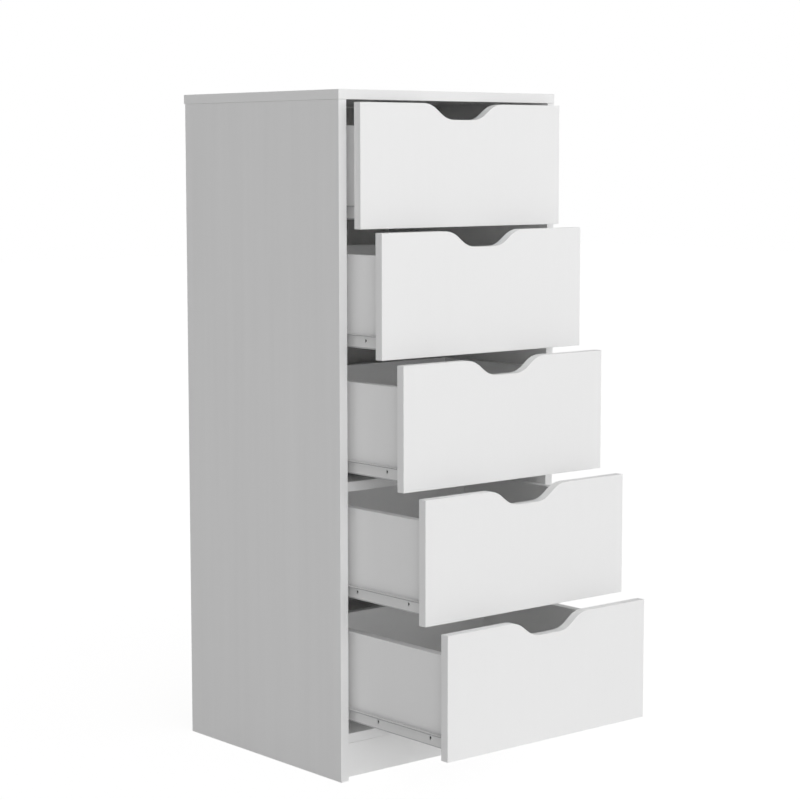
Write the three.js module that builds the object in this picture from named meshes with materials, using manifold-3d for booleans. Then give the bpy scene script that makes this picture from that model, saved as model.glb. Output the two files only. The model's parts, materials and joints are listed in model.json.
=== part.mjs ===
// Tall, narrow chest with five inset drawers on roller runners.
// Millimetres, +Z up, +X to the right of someone facing the drawers, +Y to the back.
// The origin is on the floor, in the middle of the ground that the chest and its open drawers cover.

import * as THREE from "three";
import { mergeVertices } from "three/addons/utils/BufferGeometryUtils.js";
import Module from "manifold-3d";

// ---- Carcass ----
const CARCASS_WIDTH = 450;
const CARCASS_DEPTH = 408;
const CARCASS_HEIGHT = 1068;
const BOARD = 15; // all melamine-faced boards of the carcass
const BACK_BOARD = 3; // fibreboard nailed on the rear edges, under the top panel
const BACK_MARGIN = 3; // strip of each side panel's rear edge that the back panel leaves free
const PLINTH_HEIGHT = 54;
const SETBACK = 3; // plinth, bottom and shelf stand this far behind the closed fronts
const BACK_FLOOR_GAP = 20; // the back panel ends this far above the floor

// ---- Drawer fronts ----
const DRAWER_COUNT = 5;
const DRAWERS_OVER_SHELF = 3;
const FRONT_BOARD = 15;
const FRONT_SIDE_GAP = 2.5; // between a front and a carcass side
const FRONT_GAP = 4.5; // between one front and the next
const FRONT_TOP_GAP = 4.5; // between the first front and the top panel
const FRONT_BOTTOM_GAP = 9; // between the last front and the bottom panel
const SHELF_DROP = 1; // the shelf's top lies this far under the front above it

// ---- Finger notch in a front's top edge ----
const NOTCH_WIDTH = 166; // at the top edge
const NOTCH_FLAT = 36; // level stretch at its bottom
const NOTCH_DEPTH = 25;
const NOTCH_EASE = 0.5; // how far each end of the S curve runs level, as a share of its run
const NOTCH_STEPS = 14; // chords in one S curve

// ---- Drawer box ----
const BOX_BOARD = 15;
const BOX_REAR_SPACE = 40; // free depth between a closed drawer and the back panel
const BOX_TOP_DROP = 34.5; // the sides end this far under the front's top edge
const BOTTOM_BOARD = 3;
const GROOVE_DEPTH = 6; // how far the bottom stands in the sides and the front
const GROOVE_RISE = 12; // the groove's lower edge above the side's lower edge

// ---- Runners ----
const RUNNER_SPACE = 12.5; // between a carcass side and a drawer side
const RUNNER_RISE = 14; // the drawer runner's underside above the front's lower edge
const RUNNER_HEIGHT = 21.2; // the drawer runner's section
const RUNNER_FOOT = 11; // its flange under the drawer side
const STEEL = 1.2;
const ROLLER_INSET = 14; // a roller's axle from its runner's end
const ROLLER_PLAY = 1.3; // a roller's radius is this much under half of the clear section
const AXLE_RADIUS = 2.5;
const ROLLER_SIDES = 20;

// ---- How far each drawer stands open, from the top drawer down ----
const FIRST_OPENING = 30;
const OPENING_STEP = 50;

// ---- Clearances ----
const FIT = 0.2; // between pieces that are fastened together
const RUN = 1.1; // between the steel members of a runner
const ROLL = 0.2; // between a roller's tread and its track

// ---- Worked out from the above ----
const bodyDepth = CARCASS_DEPTH - BACK_BOARD - FIT; // of the boards that end at the back panel
const innerHalf = CARCASS_WIDTH / 2 - BOARD;
const sideHeight = CARCASS_HEIGHT - BOARD - FIT;
const boardFront = FRONT_BOARD + SETBACK; // front edge of plinth, bottom and shelf
const bottomTop = PLINTH_HEIGHT + FIT + BOARD;
const openingHeight = CARCASS_HEIGHT - BOARD - bottomTop;
const gapsHeight = FRONT_TOP_GAP + FRONT_BOTTOM_GAP + (DRAWER_COUNT - 1) * FRONT_GAP;
const frontHeight = (openingHeight - gapsHeight) / DRAWER_COUNT;
const frontWidth = 2 * (innerHalf - FRONT_SIDE_GAP);
const boxDepth = CARCASS_DEPTH - BACK_BOARD - FRONT_BOARD - BOX_REAR_SPACE;
const boxHalf = innerHalf - RUNNER_SPACE; // to the outer face of a drawer side
const boxInnerHalf = boxHalf - BOX_BOARD;
const boxRise = RUNNER_RISE + STEEL + FIT; // a side's lower edge above the front's
const boxHeight = frontHeight - BOX_TOP_DROP - boxRise;
const grooveHeight = BOTTOM_BOARD + 2 * FIT;
const bottomRise = boxRise + GROOVE_RISE + FIT; // the drawer bottom's underside above the front's lower edge
const trackWidth = RUNNER_SPACE - FIT - STEEL - RUN; // reach of the drawer runner's track
const rollerNear = FIT + STEEL + RUN; // a roller's face next to the drawer side
const rollerFar = trackWidth - STEEL - RUN;
const rollerRadius = RUNNER_HEIGHT / 2 - STEEL - ROLLER_PLAY;
const channelRise = ROLL + STEEL; // top of the channel's lower flange above the drawer runner's underside
const channelHeight = RUNNER_HEIGHT + RUN + STEEL - ROLL;
const channelLength = boxDepth - SETBACK;
const deepestOpening = FIRST_OPENING + (DRAWER_COUNT - 1) * OPENING_STEP;
const frontToOrigin = (CARCASS_DEPTH - deepestOpening) / 2; // the origin, behind the carcass front

// ---- Finishes ----
const melamine = { color: 0xf1f1ef, roughness: 0.42, metalness: 0 };
const fibreboard = { color: 0xe4e3df, roughness: 0.6, metalness: 0 };
const coatedSteel = { color: 0xe9e9e6, roughness: 0.35, metalness: 0.1 };

const wasm = await Module();
wasm.setup();

/** A closed manifold-3d solid from a three.js geometry. */
function solidFrom(geometry) {
  const bare = geometry.clone();
  bare.deleteAttribute("normal");
  bare.deleteAttribute("uv");
  const merged = mergeVertices(bare, 1e-4);
  return new wasm.Manifold(
    new wasm.Mesh({
      numProp: 3,
      vertProperties: merged.attributes.position.array,
      triVerts: new Uint32Array(merged.index.array),
    }),
  );
}

/** A three.js geometry, shaded flat, from a manifold-3d solid. */
function geometryFrom(solid) {
  const mesh = solid.getMesh();
  const indexed = new THREE.BufferGeometry();
  indexed.setAttribute("position", new THREE.BufferAttribute(mesh.vertProperties, 3));
  indexed.setIndex(new THREE.BufferAttribute(mesh.triVerts, 1));
  const flat = indexed.toNonIndexed();
  flat.computeVertexNormals();
  return flat;
}

/** A board that spans from one corner to the opposite one. */
function board(low, high) {
  const size = high.map((value, axis) => value - low[axis]);
  const middle = high.map((value, axis) => (value + low[axis]) / 2);
  return new THREE.BoxGeometry(...size).translate(...middle);
}

/** An outline drawn in X and Z, pushed along +Y from `start` to `end`. */
function prism(shape, start, end) {
  const settings = { depth: end - start, bevelEnabled: false, curveSegments: NOTCH_STEPS };
  return new THREE.ExtrudeGeometry(shape, settings).rotateX(Math.PI / 2).translate(0, end, 0);
}

/** A round bar along X. */
function bar(radius, from, to, y, z) {
  const geometry = new THREE.CylinderGeometry(radius, radius, to - from, ROLLER_SIDES);
  return geometry.rotateZ(Math.PI / 2).translate((from + to) / 2, y, z);
}

/** A closed shape through points of X and Z. */
function outline(points) {
  return new THREE.Shape(points.map(([x, z]) => new THREE.Vector2(x, z)));
}

/** Adds one named mesh to a group. */
function addPiece(group, name, geometry, finish) {
  const mesh = new THREE.Mesh(geometry, new THREE.MeshStandardMaterial(finish));
  mesh.name = name;
  group.add(mesh);
}

/** The same geometry on the other side of the plane x = 0. */
function mirrored(geometry) {
  const flipped = geometry.index ? geometry.toNonIndexed() : geometry.clone();
  const position = flipped.getAttribute("position");
  const corner = new THREE.Vector3();
  const last = new THREE.Vector3();
  for (let i = 0; i < position.count; i += 3) {
    for (let k = 0; k < 3; k += 1) {
      corner.fromBufferAttribute(position, i + k);
      position.setX(i + k, -corner.x);
    }
    corner.fromBufferAttribute(position, i + 1);
    last.fromBufferAttribute(position, i + 2);
    position.setXYZ(i + 1, last.x, last.y, last.z);
    position.setXYZ(i + 2, corner.x, corner.y, corner.z);
  }
  flipped.computeVertexNormals();
  return flipped;
}

/** The seven boards that stand still. */
function buildCarcass(chest) {
  const half = CARCASS_WIDTH / 2;
  const leftSide = board([-half, 0, 0], [-innerHalf, bodyDepth, sideHeight]);
  addPiece(chest, "left_side_panel", leftSide, melamine);
  addPiece(chest, "right_side_panel", mirrored(leftSide), melamine);

  const topLow = [-half, 0, CARCASS_HEIGHT - BOARD];
  addPiece(chest, "top_panel", board(topLow, [half, CARCASS_DEPTH, CARCASS_HEIGHT]), melamine);

  const between = innerHalf - FIT;
  const plinthHigh = [between, boardFront + BOARD, PLINTH_HEIGHT];
  addPiece(chest, "plinth", board([-between, boardFront, 0], plinthHigh), melamine);

  const bottomLow = [-between, boardFront, bottomTop - BOARD];
  addPiece(chest, "bottom_panel", board(bottomLow, [between, bodyDepth, bottomTop]), melamine);

  const shelfTop = frontBase(DRAWERS_OVER_SHELF - 1) - SHELF_DROP;
  const shelfLow = [-between, boardFront, shelfTop - BOARD];
  addPiece(chest, "middle_shelf", board(shelfLow, [between, bodyDepth, shelfTop]), melamine);

  const backHalf = half - BACK_MARGIN;
  const backLow = [-backHalf, CARCASS_DEPTH - BACK_BOARD, BACK_FLOOR_GAP];
  const backHigh = [backHalf, CARCASS_DEPTH, sideHeight];
  addPiece(chest, "back_panel", board(backLow, backHigh), fibreboard);
}

/** Height of a front's lower edge; drawer 0 is the top one. */
function frontBase(index) {
  const top = CARCASS_HEIGHT - BOARD - FRONT_TOP_GAP;
  return top - (index + 1) * frontHeight - index * FRONT_GAP;
}

/** A front's outline with the finger notch, lower edge at z = 0. */
function frontOutline() {
  const half = frontWidth / 2;
  const rim = NOTCH_WIDTH / 2;
  const flat = NOTCH_FLAT / 2;
  const ease = NOTCH_EASE * (rim - flat);
  const floor = frontHeight - NOTCH_DEPTH;
  const shape = new THREE.Shape();
  shape.moveTo(-half, 0);
  shape.lineTo(half, 0);
  shape.lineTo(half, frontHeight);
  shape.lineTo(rim, frontHeight);
  shape.bezierCurveTo(rim - ease, frontHeight, flat + ease, floor, flat, floor);
  shape.lineTo(-flat, floor);
  shape.bezierCurveTo(-flat - ease, floor, -rim + ease, frontHeight, -rim, frontHeight);
  shape.lineTo(-half, frontHeight);
  shape.closePath();
  return shape;
}

/** A drawer front, its rear face at y = 0, with the groove that takes the drawer's bottom. */
function frontGeometry() {
  const whole = solidFrom(prism(frontOutline(), -FRONT_BOARD, 0));
  const half = boxInnerHalf + GROOVE_DEPTH;
  const low = [-half, -GROOVE_DEPTH, bottomRise - FIT];
  const high = [half, FRONT_BOARD, bottomRise - FIT + grooveHeight];
  return geometryFrom(whole.subtract(solidFrom(board(low, high))));
}

/** A drawer's left side: a board with a groove along its inner face. */
function boxSideGeometry() {
  const grooveLow = boxRise + GROOVE_RISE;
  const grooveHigh = grooveLow + grooveHeight;
  const top = boxRise + boxHeight;
  const grooveBed = -boxInnerHalf - GROOVE_DEPTH;
  const section = outline([
    [-boxHalf, boxRise],
    [-boxInnerHalf, boxRise],
    [-boxInnerHalf, grooveLow],
    [grooveBed, grooveLow],
    [grooveBed, grooveHigh],
    [-boxInnerHalf, grooveHigh],
    [-boxInnerHalf, top],
    [-boxHalf, top],
  ]);
  return prism(section, FIT, boxDepth);
}

/** A roller on its axle, the axle starting at `axleFrom`; places are distances out from the drawer side. */
function rollerSolid(axleFrom, y, z) {
  const tread = bar(rollerRadius, -boxHalf - rollerFar, -boxHalf - rollerNear, y, z);
  const ends = [-boxHalf - axleFrom, -boxHalf - (rollerNear + rollerFar) / 2];
  const axle = bar(AXLE_RADIUS, Math.min(...ends), Math.max(...ends), y, z);
  return solidFrom(tread).add(solidFrom(axle));
}

/** The left runner on the drawer: a foot under the side, a plate up it, a track outwards, and the rear roller. */
function drawerRunnerGeometry() {
  const at = (out, rise) => [-boxHalf - out, RUNNER_RISE + rise];
  const plate = outline([
    at(-RUNNER_FOOT, 0),
    at(-RUNNER_FOOT, STEEL),
    at(FIT, STEEL),
    at(FIT, RUNNER_HEIGHT),
    at(FIT + STEEL, RUNNER_HEIGHT),
    at(FIT + STEEL, 0),
  ]);
  const track = outline([
    at(FIT, RUNNER_HEIGHT - STEEL),
    at(FIT, RUNNER_HEIGHT),
    at(trackWidth, RUNNER_HEIGHT),
    at(trackWidth, RUNNER_HEIGHT - STEEL),
  ]);
  const trackEnd = boxDepth - 2 * ROLLER_INSET;
  const rollerHeight = RUNNER_RISE + channelRise + ROLL + rollerRadius;
  const steel = solidFrom(prism(plate, FIT, boxDepth)).add(solidFrom(prism(track, FIT, trackEnd)));
  return geometryFrom(steel.add(rollerSolid(FIT, boxDepth - ROLLER_INSET, rollerHeight)));
}

/** The left runner on the carcass: a channel open towards the drawer, and the front roller. */
function carcassRunnerGeometry() {
  const at = (out, rise) => [-boxHalf - out, RUNNER_RISE + ROLL + rise];
  const web = RUNNER_SPACE - FIT;
  const section = outline([
    at(web, 0),
    at(web, channelHeight),
    at(rollerNear, channelHeight),
    at(rollerNear, channelHeight - STEEL),
    at(web - STEEL, channelHeight - STEEL),
    at(web - STEEL, STEEL),
    at(rollerNear, STEEL),
    at(rollerNear, 0),
  ]);
  const rollerHeight = RUNNER_RISE + RUNNER_HEIGHT - STEEL - ROLL - rollerRadius;
  const steel = solidFrom(prism(section, 0, channelLength));
  return geometryFrom(steel.add(rollerSolid(web, ROLLER_INSET, rollerHeight)));
}

/** One drawer, in its own frame: y = 0 is the front's rear face, z = 0 the front's lower edge. */
function buildDrawer(number) {
  const drawer = new THREE.Group();
  const name = (piece) => `drawer_${number}_${piece}`;
  const side = boxSideGeometry();
  const runner = drawerRunnerGeometry();
  addPiece(drawer, name("front"), frontGeometry(), melamine);
  addPiece(drawer, name("left_side"), side, melamine);
  addPiece(drawer, name("right_side"), mirrored(side), melamine);

  const bottomHalf = boxInnerHalf + GROOVE_DEPTH - FIT;
  const bottomLow = [-bottomHalf, FIT - GROOVE_DEPTH, bottomRise];
  const bottomHigh = [bottomHalf, boxDepth, bottomRise + BOTTOM_BOARD];
  addPiece(drawer, name("bottom"), board(bottomLow, bottomHigh), fibreboard);

  const backHalf = boxInnerHalf - FIT;
  const backLow = [-backHalf, boxDepth - BOX_BOARD, bottomRise + BOTTOM_BOARD + FIT];
  const backHigh = [backHalf, boxDepth, boxRise + boxHeight];
  addPiece(drawer, name("back"), board(backLow, backHigh), melamine);

  addPiece(drawer, name("left_runner"), runner, coatedSteel);
  addPiece(drawer, name("right_runner"), mirrored(runner), coatedSteel);
  return drawer;
}

/** The two runners in the carcass that carry one drawer. */
function buildCarcassRunners(number) {
  const pair = new THREE.Group();
  const runner = carcassRunnerGeometry();
  addPiece(pair, `carcass_${number}_left_runner`, runner, coatedSteel);
  addPiece(pair, `carcass_${number}_right_runner`, mirrored(runner), coatedSteel);
  return pair;
}

const chest = new THREE.Group();
buildCarcass(chest);
for (let index = 0; index < DRAWER_COUNT; index += 1) {
  const opening = FIRST_OPENING + index * OPENING_STEP;
  const drawer = buildDrawer(index + 1);
  drawer.position.set(0, FRONT_BOARD - opening, frontBase(index));
  const runners = buildCarcassRunners(index + 1);
  runners.position.set(0, boardFront, frontBase(index));
  chest.add(drawer, runners);
}
chest.position.y = -frontToOrigin;

export default chest;
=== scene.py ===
"""Looks of a tall chest of drawers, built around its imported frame.

Every length is in metres. Places are in the frame's own axes: X to the right of a person who
faces the drawers, Y to the back and Z up.
"""

from __future__ import annotations

import json
import logging
import math
from dataclasses import dataclass, field
from enum import Enum
from typing import Callable, Iterable, Sequence

import bmesh
import bpy
from mathutils import Matrix, Vector

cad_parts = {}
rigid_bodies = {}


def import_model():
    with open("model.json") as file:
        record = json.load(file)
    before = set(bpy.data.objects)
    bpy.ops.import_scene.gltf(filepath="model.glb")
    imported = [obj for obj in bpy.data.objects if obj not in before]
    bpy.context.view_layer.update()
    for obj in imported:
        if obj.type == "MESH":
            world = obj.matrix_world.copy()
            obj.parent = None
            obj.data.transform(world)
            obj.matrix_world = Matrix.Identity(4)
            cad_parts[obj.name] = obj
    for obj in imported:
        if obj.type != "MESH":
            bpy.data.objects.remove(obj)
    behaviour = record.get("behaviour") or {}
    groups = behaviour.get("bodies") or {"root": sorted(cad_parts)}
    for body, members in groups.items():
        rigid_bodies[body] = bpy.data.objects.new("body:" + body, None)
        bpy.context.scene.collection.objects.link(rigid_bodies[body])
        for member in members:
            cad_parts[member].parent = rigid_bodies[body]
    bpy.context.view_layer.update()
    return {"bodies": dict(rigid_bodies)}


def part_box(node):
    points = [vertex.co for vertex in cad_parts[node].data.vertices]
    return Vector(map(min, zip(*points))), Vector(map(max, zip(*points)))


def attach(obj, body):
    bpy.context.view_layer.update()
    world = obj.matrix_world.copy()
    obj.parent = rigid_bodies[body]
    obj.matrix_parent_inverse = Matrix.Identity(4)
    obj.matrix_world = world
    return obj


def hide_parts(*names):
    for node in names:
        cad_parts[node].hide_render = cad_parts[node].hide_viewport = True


LOG = logging.getLogger("chest")
Point = tuple[float, float]
Corner = tuple[float, float, float]
Work = bmesh.types.BMesh
Node = bpy.types.Node
Socket = bpy.types.NodeSocket
Fitting = Callable[[], Work]

FACING = 0.999
"""Cosine above which a face counts as looking along an axis."""
FIT = 0.0002
"""Clearance between touching pieces."""
OVERRUN = 0.01
"""How far a cutter reaches past what it cuts."""


# ---------------------------------------------------------------- node groups


class NodeMaker:
    """Adds nodes to one tree and joins them, from left to right."""

    def __init__(self, tree: bpy.types.NodeTree) -> None:
        """Keeps the node tree to fill."""
        self.tree = tree

    def add(self, kind: str, **settings: object) -> Node:
        """Adds one node.

        Args:
            kind: the node's Blender type name.
            settings: attributes to set on it.

        Returns:
            The new node.
        """
        node = self.tree.nodes.new(kind)
        for name, value in settings.items():
            setattr(node, name, value)
        return node

    def join(self, source: Socket, target: Socket) -> None:
        """Links one output to one input."""
        self.tree.links.new(source, target)

    def feed(self, sockets: Iterable[Socket], values: Iterable[object]) -> None:
        """Gives each input its value.

        Args:
            sockets: the inputs.
            values: for each input a number, a colour or an output socket.
        """
        for socket, value in zip(sockets, values):
            if isinstance(value, Socket):
                self.join(value, socket)
            else:
                socket.default_value = value

    def math(self, operation: str, *values: object) -> Socket:
        """Adds a Math node.

        Args:
            operation: the node's operation.
            values: its inputs, each a number or an output socket.

        Returns:
            The node's result.
        """
        node = self.add("ShaderNodeMath", operation=operation)
        self.feed(node.inputs, values)
        return node.outputs[0]

    def blend(self, share: object, first: object, second: object) -> Socket:
        """Adds a colour mix.

        Args:
            share: how much of the second colour, a number or a socket.
            first: a colour or a socket.
            second: a colour or a socket.

        Returns:
            The mixed colour.
        """
        node = self.add("ShaderNodeMix", data_type="RGBA")
        self.feed((node.inputs[0], node.inputs[6], node.inputs[7]), (share, first, second))
        return node.outputs[2]

    def noise(self, place: Socket, scale: object, detail: float, roughness: float = 0.5) -> Socket:
        """Adds a noise texture.

        Args:
            place: the coordinates.
            scale: its scale, a number or a socket.
            detail: how many finer levels it has.
            roughness: how strong the finer levels are.

        Returns:
            The noise's value.
        """
        node = self.add("ShaderNodeTexNoise")
        sockets = [node.inputs[name] for name in ("Vector", "Scale", "Detail", "Roughness")]
        self.feed(sockets, (place, scale, detail, roughness))
        return node.outputs[0]


class ShaderGroup:
    """A node group that several finishes share. It is built once, when it is first used."""

    name = ""
    inputs: dict[str, float | tuple[float, ...]] = {}
    outputs: tuple[str, ...] = ()

    @classmethod
    def tree(cls) -> bpy.types.NodeTree:
        """Returns the group's tree, built if it isn't there yet."""
        found = bpy.data.node_groups.get(cls.name)
        if found:
            return found
        made = bpy.data.node_groups.new(cls.name, "ShaderNodeTree")
        for name, value in cls.inputs.items():
            kind = "NodeSocketVector" if isinstance(value, tuple) else "NodeSocketFloat"
            made.interface.new_socket(name, in_out="INPUT", socket_type=kind).default_value = value
        for name in cls.outputs:
            made.interface.new_socket(name, in_out="OUTPUT", socket_type="NodeSocketFloat")
        maker = NodeMaker(made)
        start = maker.add("NodeGroupInput")
        end = maker.add("NodeGroupOutput")
        cls.fill(maker, start, end)
        return made

    @classmethod
    def fill(cls, maker: NodeMaker, start: Node, end: Node) -> None:
        """Adds the group's own nodes between its input and output nodes."""
        raise NotImplementedError

    @classmethod
    def place(cls, maker: NodeMaker, **values: object) -> Node:
        """Places the group in a material.

        Args:
            maker: the material's node maker.
            values: the group's inputs by name, numbers, vectors or sockets.

        Returns:
            The group node.
        """
        node = maker.add("ShaderNodeGroup", node_tree=cls.tree())
        maker.feed([node.inputs[name] for name in values], values.values())
        return node


class Grain(ShaderGroup):
    """Streaks and fine relief that run along one axis of a surface."""

    name = "Grain"
    inputs = {"Place": (0.0, 0.0, 0.0), "Stretch": (1.0, 1.0, 1.0), "Scale": 40.0, "Fineness": 900.0}
    outputs = ("Streak", "Relief", "Mottle")
    mottle_scale = 5.5

    @classmethod
    def fill(cls, maker: NodeMaker, start: Node, end: Node) -> None:
        """Adds stretched noise, fine noise and broad noise.

        Args:
            maker: the group's node maker.
            start: the group's input node.
            end: its output node.
        """
        place = start.outputs["Place"]
        long = maker.add("ShaderNodeVectorMath", operation="MULTIPLY")
        maker.feed(long.inputs, (place, start.outputs["Stretch"]))
        streak = maker.noise(long.outputs[0], start.outputs["Scale"], detail=4.0, roughness=0.62)
        relief = maker.noise(place, start.outputs["Fineness"], detail=2.0)
        mottle = maker.noise(place, cls.mottle_scale, detail=3.0)
        maker.feed([end.inputs[name] for name in cls.outputs], (streak, relief, mottle))


class EdgeWear(ShaderGroup):
    """A mask of the rim along convex edges, broken up by noise."""

    name = "EdgeWear"
    inputs = {"Place": (0.0, 0.0, 0.0), "Width": 0.001, "Patchiness": 60.0}
    outputs = ("Rim", "Worn")
    gain = 4.0
    patch_edges = (0.48, 0.62)

    @classmethod
    def fill(cls, maker: NodeMaker, start: Node, end: Node) -> None:
        """Compares a rounded normal with the real one.

        Args:
            maker: the group's node maker.
            start: the group's input node.
            end: its output node.
        """
        rounded = maker.add("ShaderNodeBevel", samples=4)
        maker.join(start.outputs["Width"], rounded.inputs["Radius"])
        real = maker.add("ShaderNodeNewGeometry")
        turn = maker.add("ShaderNodeVectorMath", operation="DOT_PRODUCT")
        maker.feed(turn.inputs, (rounded.outputs[0], real.outputs["Normal"]))
        away = maker.math("SUBTRACT", 1.0, turn.outputs["Value"])
        rim = maker.math("MINIMUM", maker.math("MULTIPLY", away, cls.gain), 1.0)
        patches = maker.noise(start.outputs["Place"], start.outputs["Patchiness"], detail=3.0)
        strong = maker.add("ShaderNodeMapRange", interpolation_type="SMOOTHSTEP")
        sockets = [strong.inputs[name] for name in ("Value", "From Min", "From Max")]
        maker.feed(sockets, (patches, *cls.patch_edges))
        worn = maker.math("MULTIPLY", rim, strong.outputs[0])
        maker.feed([end.inputs[name] for name in cls.outputs], (rim, worn))


# ---------------------------------------------------------------- finishes


@dataclass(frozen=True)
class Surface:
    """What every finish has.

    Attributes:
        slot: the record's material slot.
    """

    slot: str

    def start(self, name: str) -> tuple[NodeMaker, Node, Socket]:
        """Makes a plain node material.

        Args:
            name: the material's name.

        Returns:
            The material's node maker, its shader and the surface's own coordinates.
        """
        material = bpy.data.materials.new(name)
        material.use_nodes = True
        maker = NodeMaker(material.node_tree)
        shader = material.node_tree.nodes["Principled BSDF"]
        return maker, shader, maker.add("ShaderNodeTexCoord").outputs["Object"]

    def emboss(self, maker: NodeMaker, shader: Node, height: Socket, depth: float) -> None:
        """Gives the shader a relief.

        Args:
            maker: the material's node maker.
            shader: the material's shader.
            height: the relief, from 0 to 1.
            depth: the relief's depth in metres.
        """
        bump = maker.add("ShaderNodeBump")
        sockets = [bump.inputs[name] for name in ("Strength", "Distance", "Height")]
        maker.feed(sockets, (1.0, depth, height))
        maker.join(bump.outputs[0], shader.inputs["Normal"])


@dataclass(frozen=True)
class Coat(Surface):
    """A dressed surface: its colours, gloss and relief.

    Attributes:
        colour: the main colour, linear.
        shade: the colour that streaks and mottling tend to.
        rim: the colour along worn edges.
        streaks: share of the shade colour that the streaks reach.
        mottling: share of the shade colour that the broad patches reach.
        roughness: middle roughness.
        spread: how far the roughness strays from the middle.
        metallic: 0 or 1.
        specular: the shader's specular level.
        stretch: how the streaks are drawn out along X, Y and Z.
        scale: streaks per metre.
        fineness: fine grains per metre.
        relief: height of the fine relief in metres.
        wear: share of the rim colour at the edges.
        wear_width: how far the wear reaches from an edge, in metres.
    """

    colour: Corner
    shade: Corner
    rim: Corner
    streaks: float = 0.3
    mottling: float = 0.2
    roughness: float = 0.45
    spread: float = 0.08
    metallic: float = 0.0
    specular: float = 0.5
    stretch: Corner = (1.0, 1.0, 0.06)
    scale: float = 110.0
    fineness: float = 1400.0
    relief: float = 0.00002
    wear: float = 0.3
    wear_width: float = 0.0012

    def build(self, name: str) -> None:
        """Makes the node material.

        Args:
            name: the material's name.
        """
        maker, shader, place = self.start(name)
        grain = Grain.place(
            maker, Place=place, Stretch=self.stretch, Scale=self.scale, Fineness=self.fineness
        )
        edges = EdgeWear.place(maker, Place=place, Width=self.wear_width)
        shade = (*self.shade, 1.0)
        streaks = maker.math("MULTIPLY", grain.outputs["Streak"], self.streaks)
        streaked = maker.blend(streaks, (*self.colour, 1.0), shade)
        mottling = maker.math("MULTIPLY", grain.outputs["Mottle"], self.mottling)
        patchy = maker.blend(mottling, streaked, shade)
        wear = maker.math("MULTIPLY", edges.outputs["Worn"], self.wear)
        maker.join(maker.blend(wear, patchy, (*self.rim, 1.0)), shader.inputs["Base Color"])
        least = self.roughness - self.spread
        stray = maker.math("MULTIPLY_ADD", grain.outputs["Streak"], 2 * self.spread, least)
        rubbed = maker.math("MULTIPLY_ADD", edges.outputs["Rim"], self.spread, stray)
        maker.join(rubbed, shader.inputs["Roughness"])
        shader.inputs["Metallic"].default_value = self.metallic
        shader.inputs["Specular IOR Level"].default_value = self.specular
        self.emboss(maker, shader, grain.outputs["Relief"], self.relief)


@dataclass(frozen=True)
class ChipCoat(Surface):
    """Bare board: coarse chips of two tones, for cut edges and the back of fibreboard.

    Attributes:
        light: the lighter tone, linear.
        dark: the darker tone.
        chips: chips per metre.
        roughness: the greatest roughness.
        relief: height of the relief in metres.
        mottling: share of the dark tone that the broad patches reach.
    """

    light: Corner
    dark: Corner
    chips: float
    roughness: float = 0.85
    relief: float = 0.0002
    mottling: float = 0.35

    def build(self, name: str) -> None:
        """Makes the node material.

        Args:
            name: the material's name.
        """
        maker, shader, place = self.start(name)
        grain = Grain.place(
            maker, Place=place, Stretch=(1.0, 1.0, 0.5), Scale=self.chips, Fineness=4 * self.chips
        )
        cells = maker.add("ShaderNodeTexVoronoi")
        maker.feed((cells.inputs["Vector"], cells.inputs["Scale"]), (place, self.chips))
        tone = maker.add("ShaderNodeSeparateColor")
        maker.join(cells.outputs["Color"], tone.inputs[0])
        dark = (*self.dark, 1.0)
        share = maker.math("MULTIPLY", tone.outputs[0], grain.outputs["Relief"])
        chipped = maker.blend(share, (*self.light, 1.0), dark)
        mottling = maker.math("MULTIPLY", grain.outputs["Mottle"], self.mottling)
        maker.join(maker.blend(mottling, chipped, dark), shader.inputs["Base Color"])
        rough = maker.math("MULTIPLY_ADD", grain.outputs["Streak"], 0.2, self.roughness - 0.1)
        maker.join(rough, shader.inputs["Roughness"])
        self.emboss(maker, shader, grain.outputs["Relief"], self.relief)


EVEN = (1.0, 1.0, 1.0)
SPRAYED = {"fineness": 2600.0, "relief": 0.00003, "stretch": (1.0, 0.3, 1.0), "wear_width": 0.0006}
METAL = {"metallic": 1.0, "stretch": EVEN, "scale": 500.0}


def grey(tone: float) -> Corner:
    """Returns a neutral linear colour."""
    return (tone, tone, tone)


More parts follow.
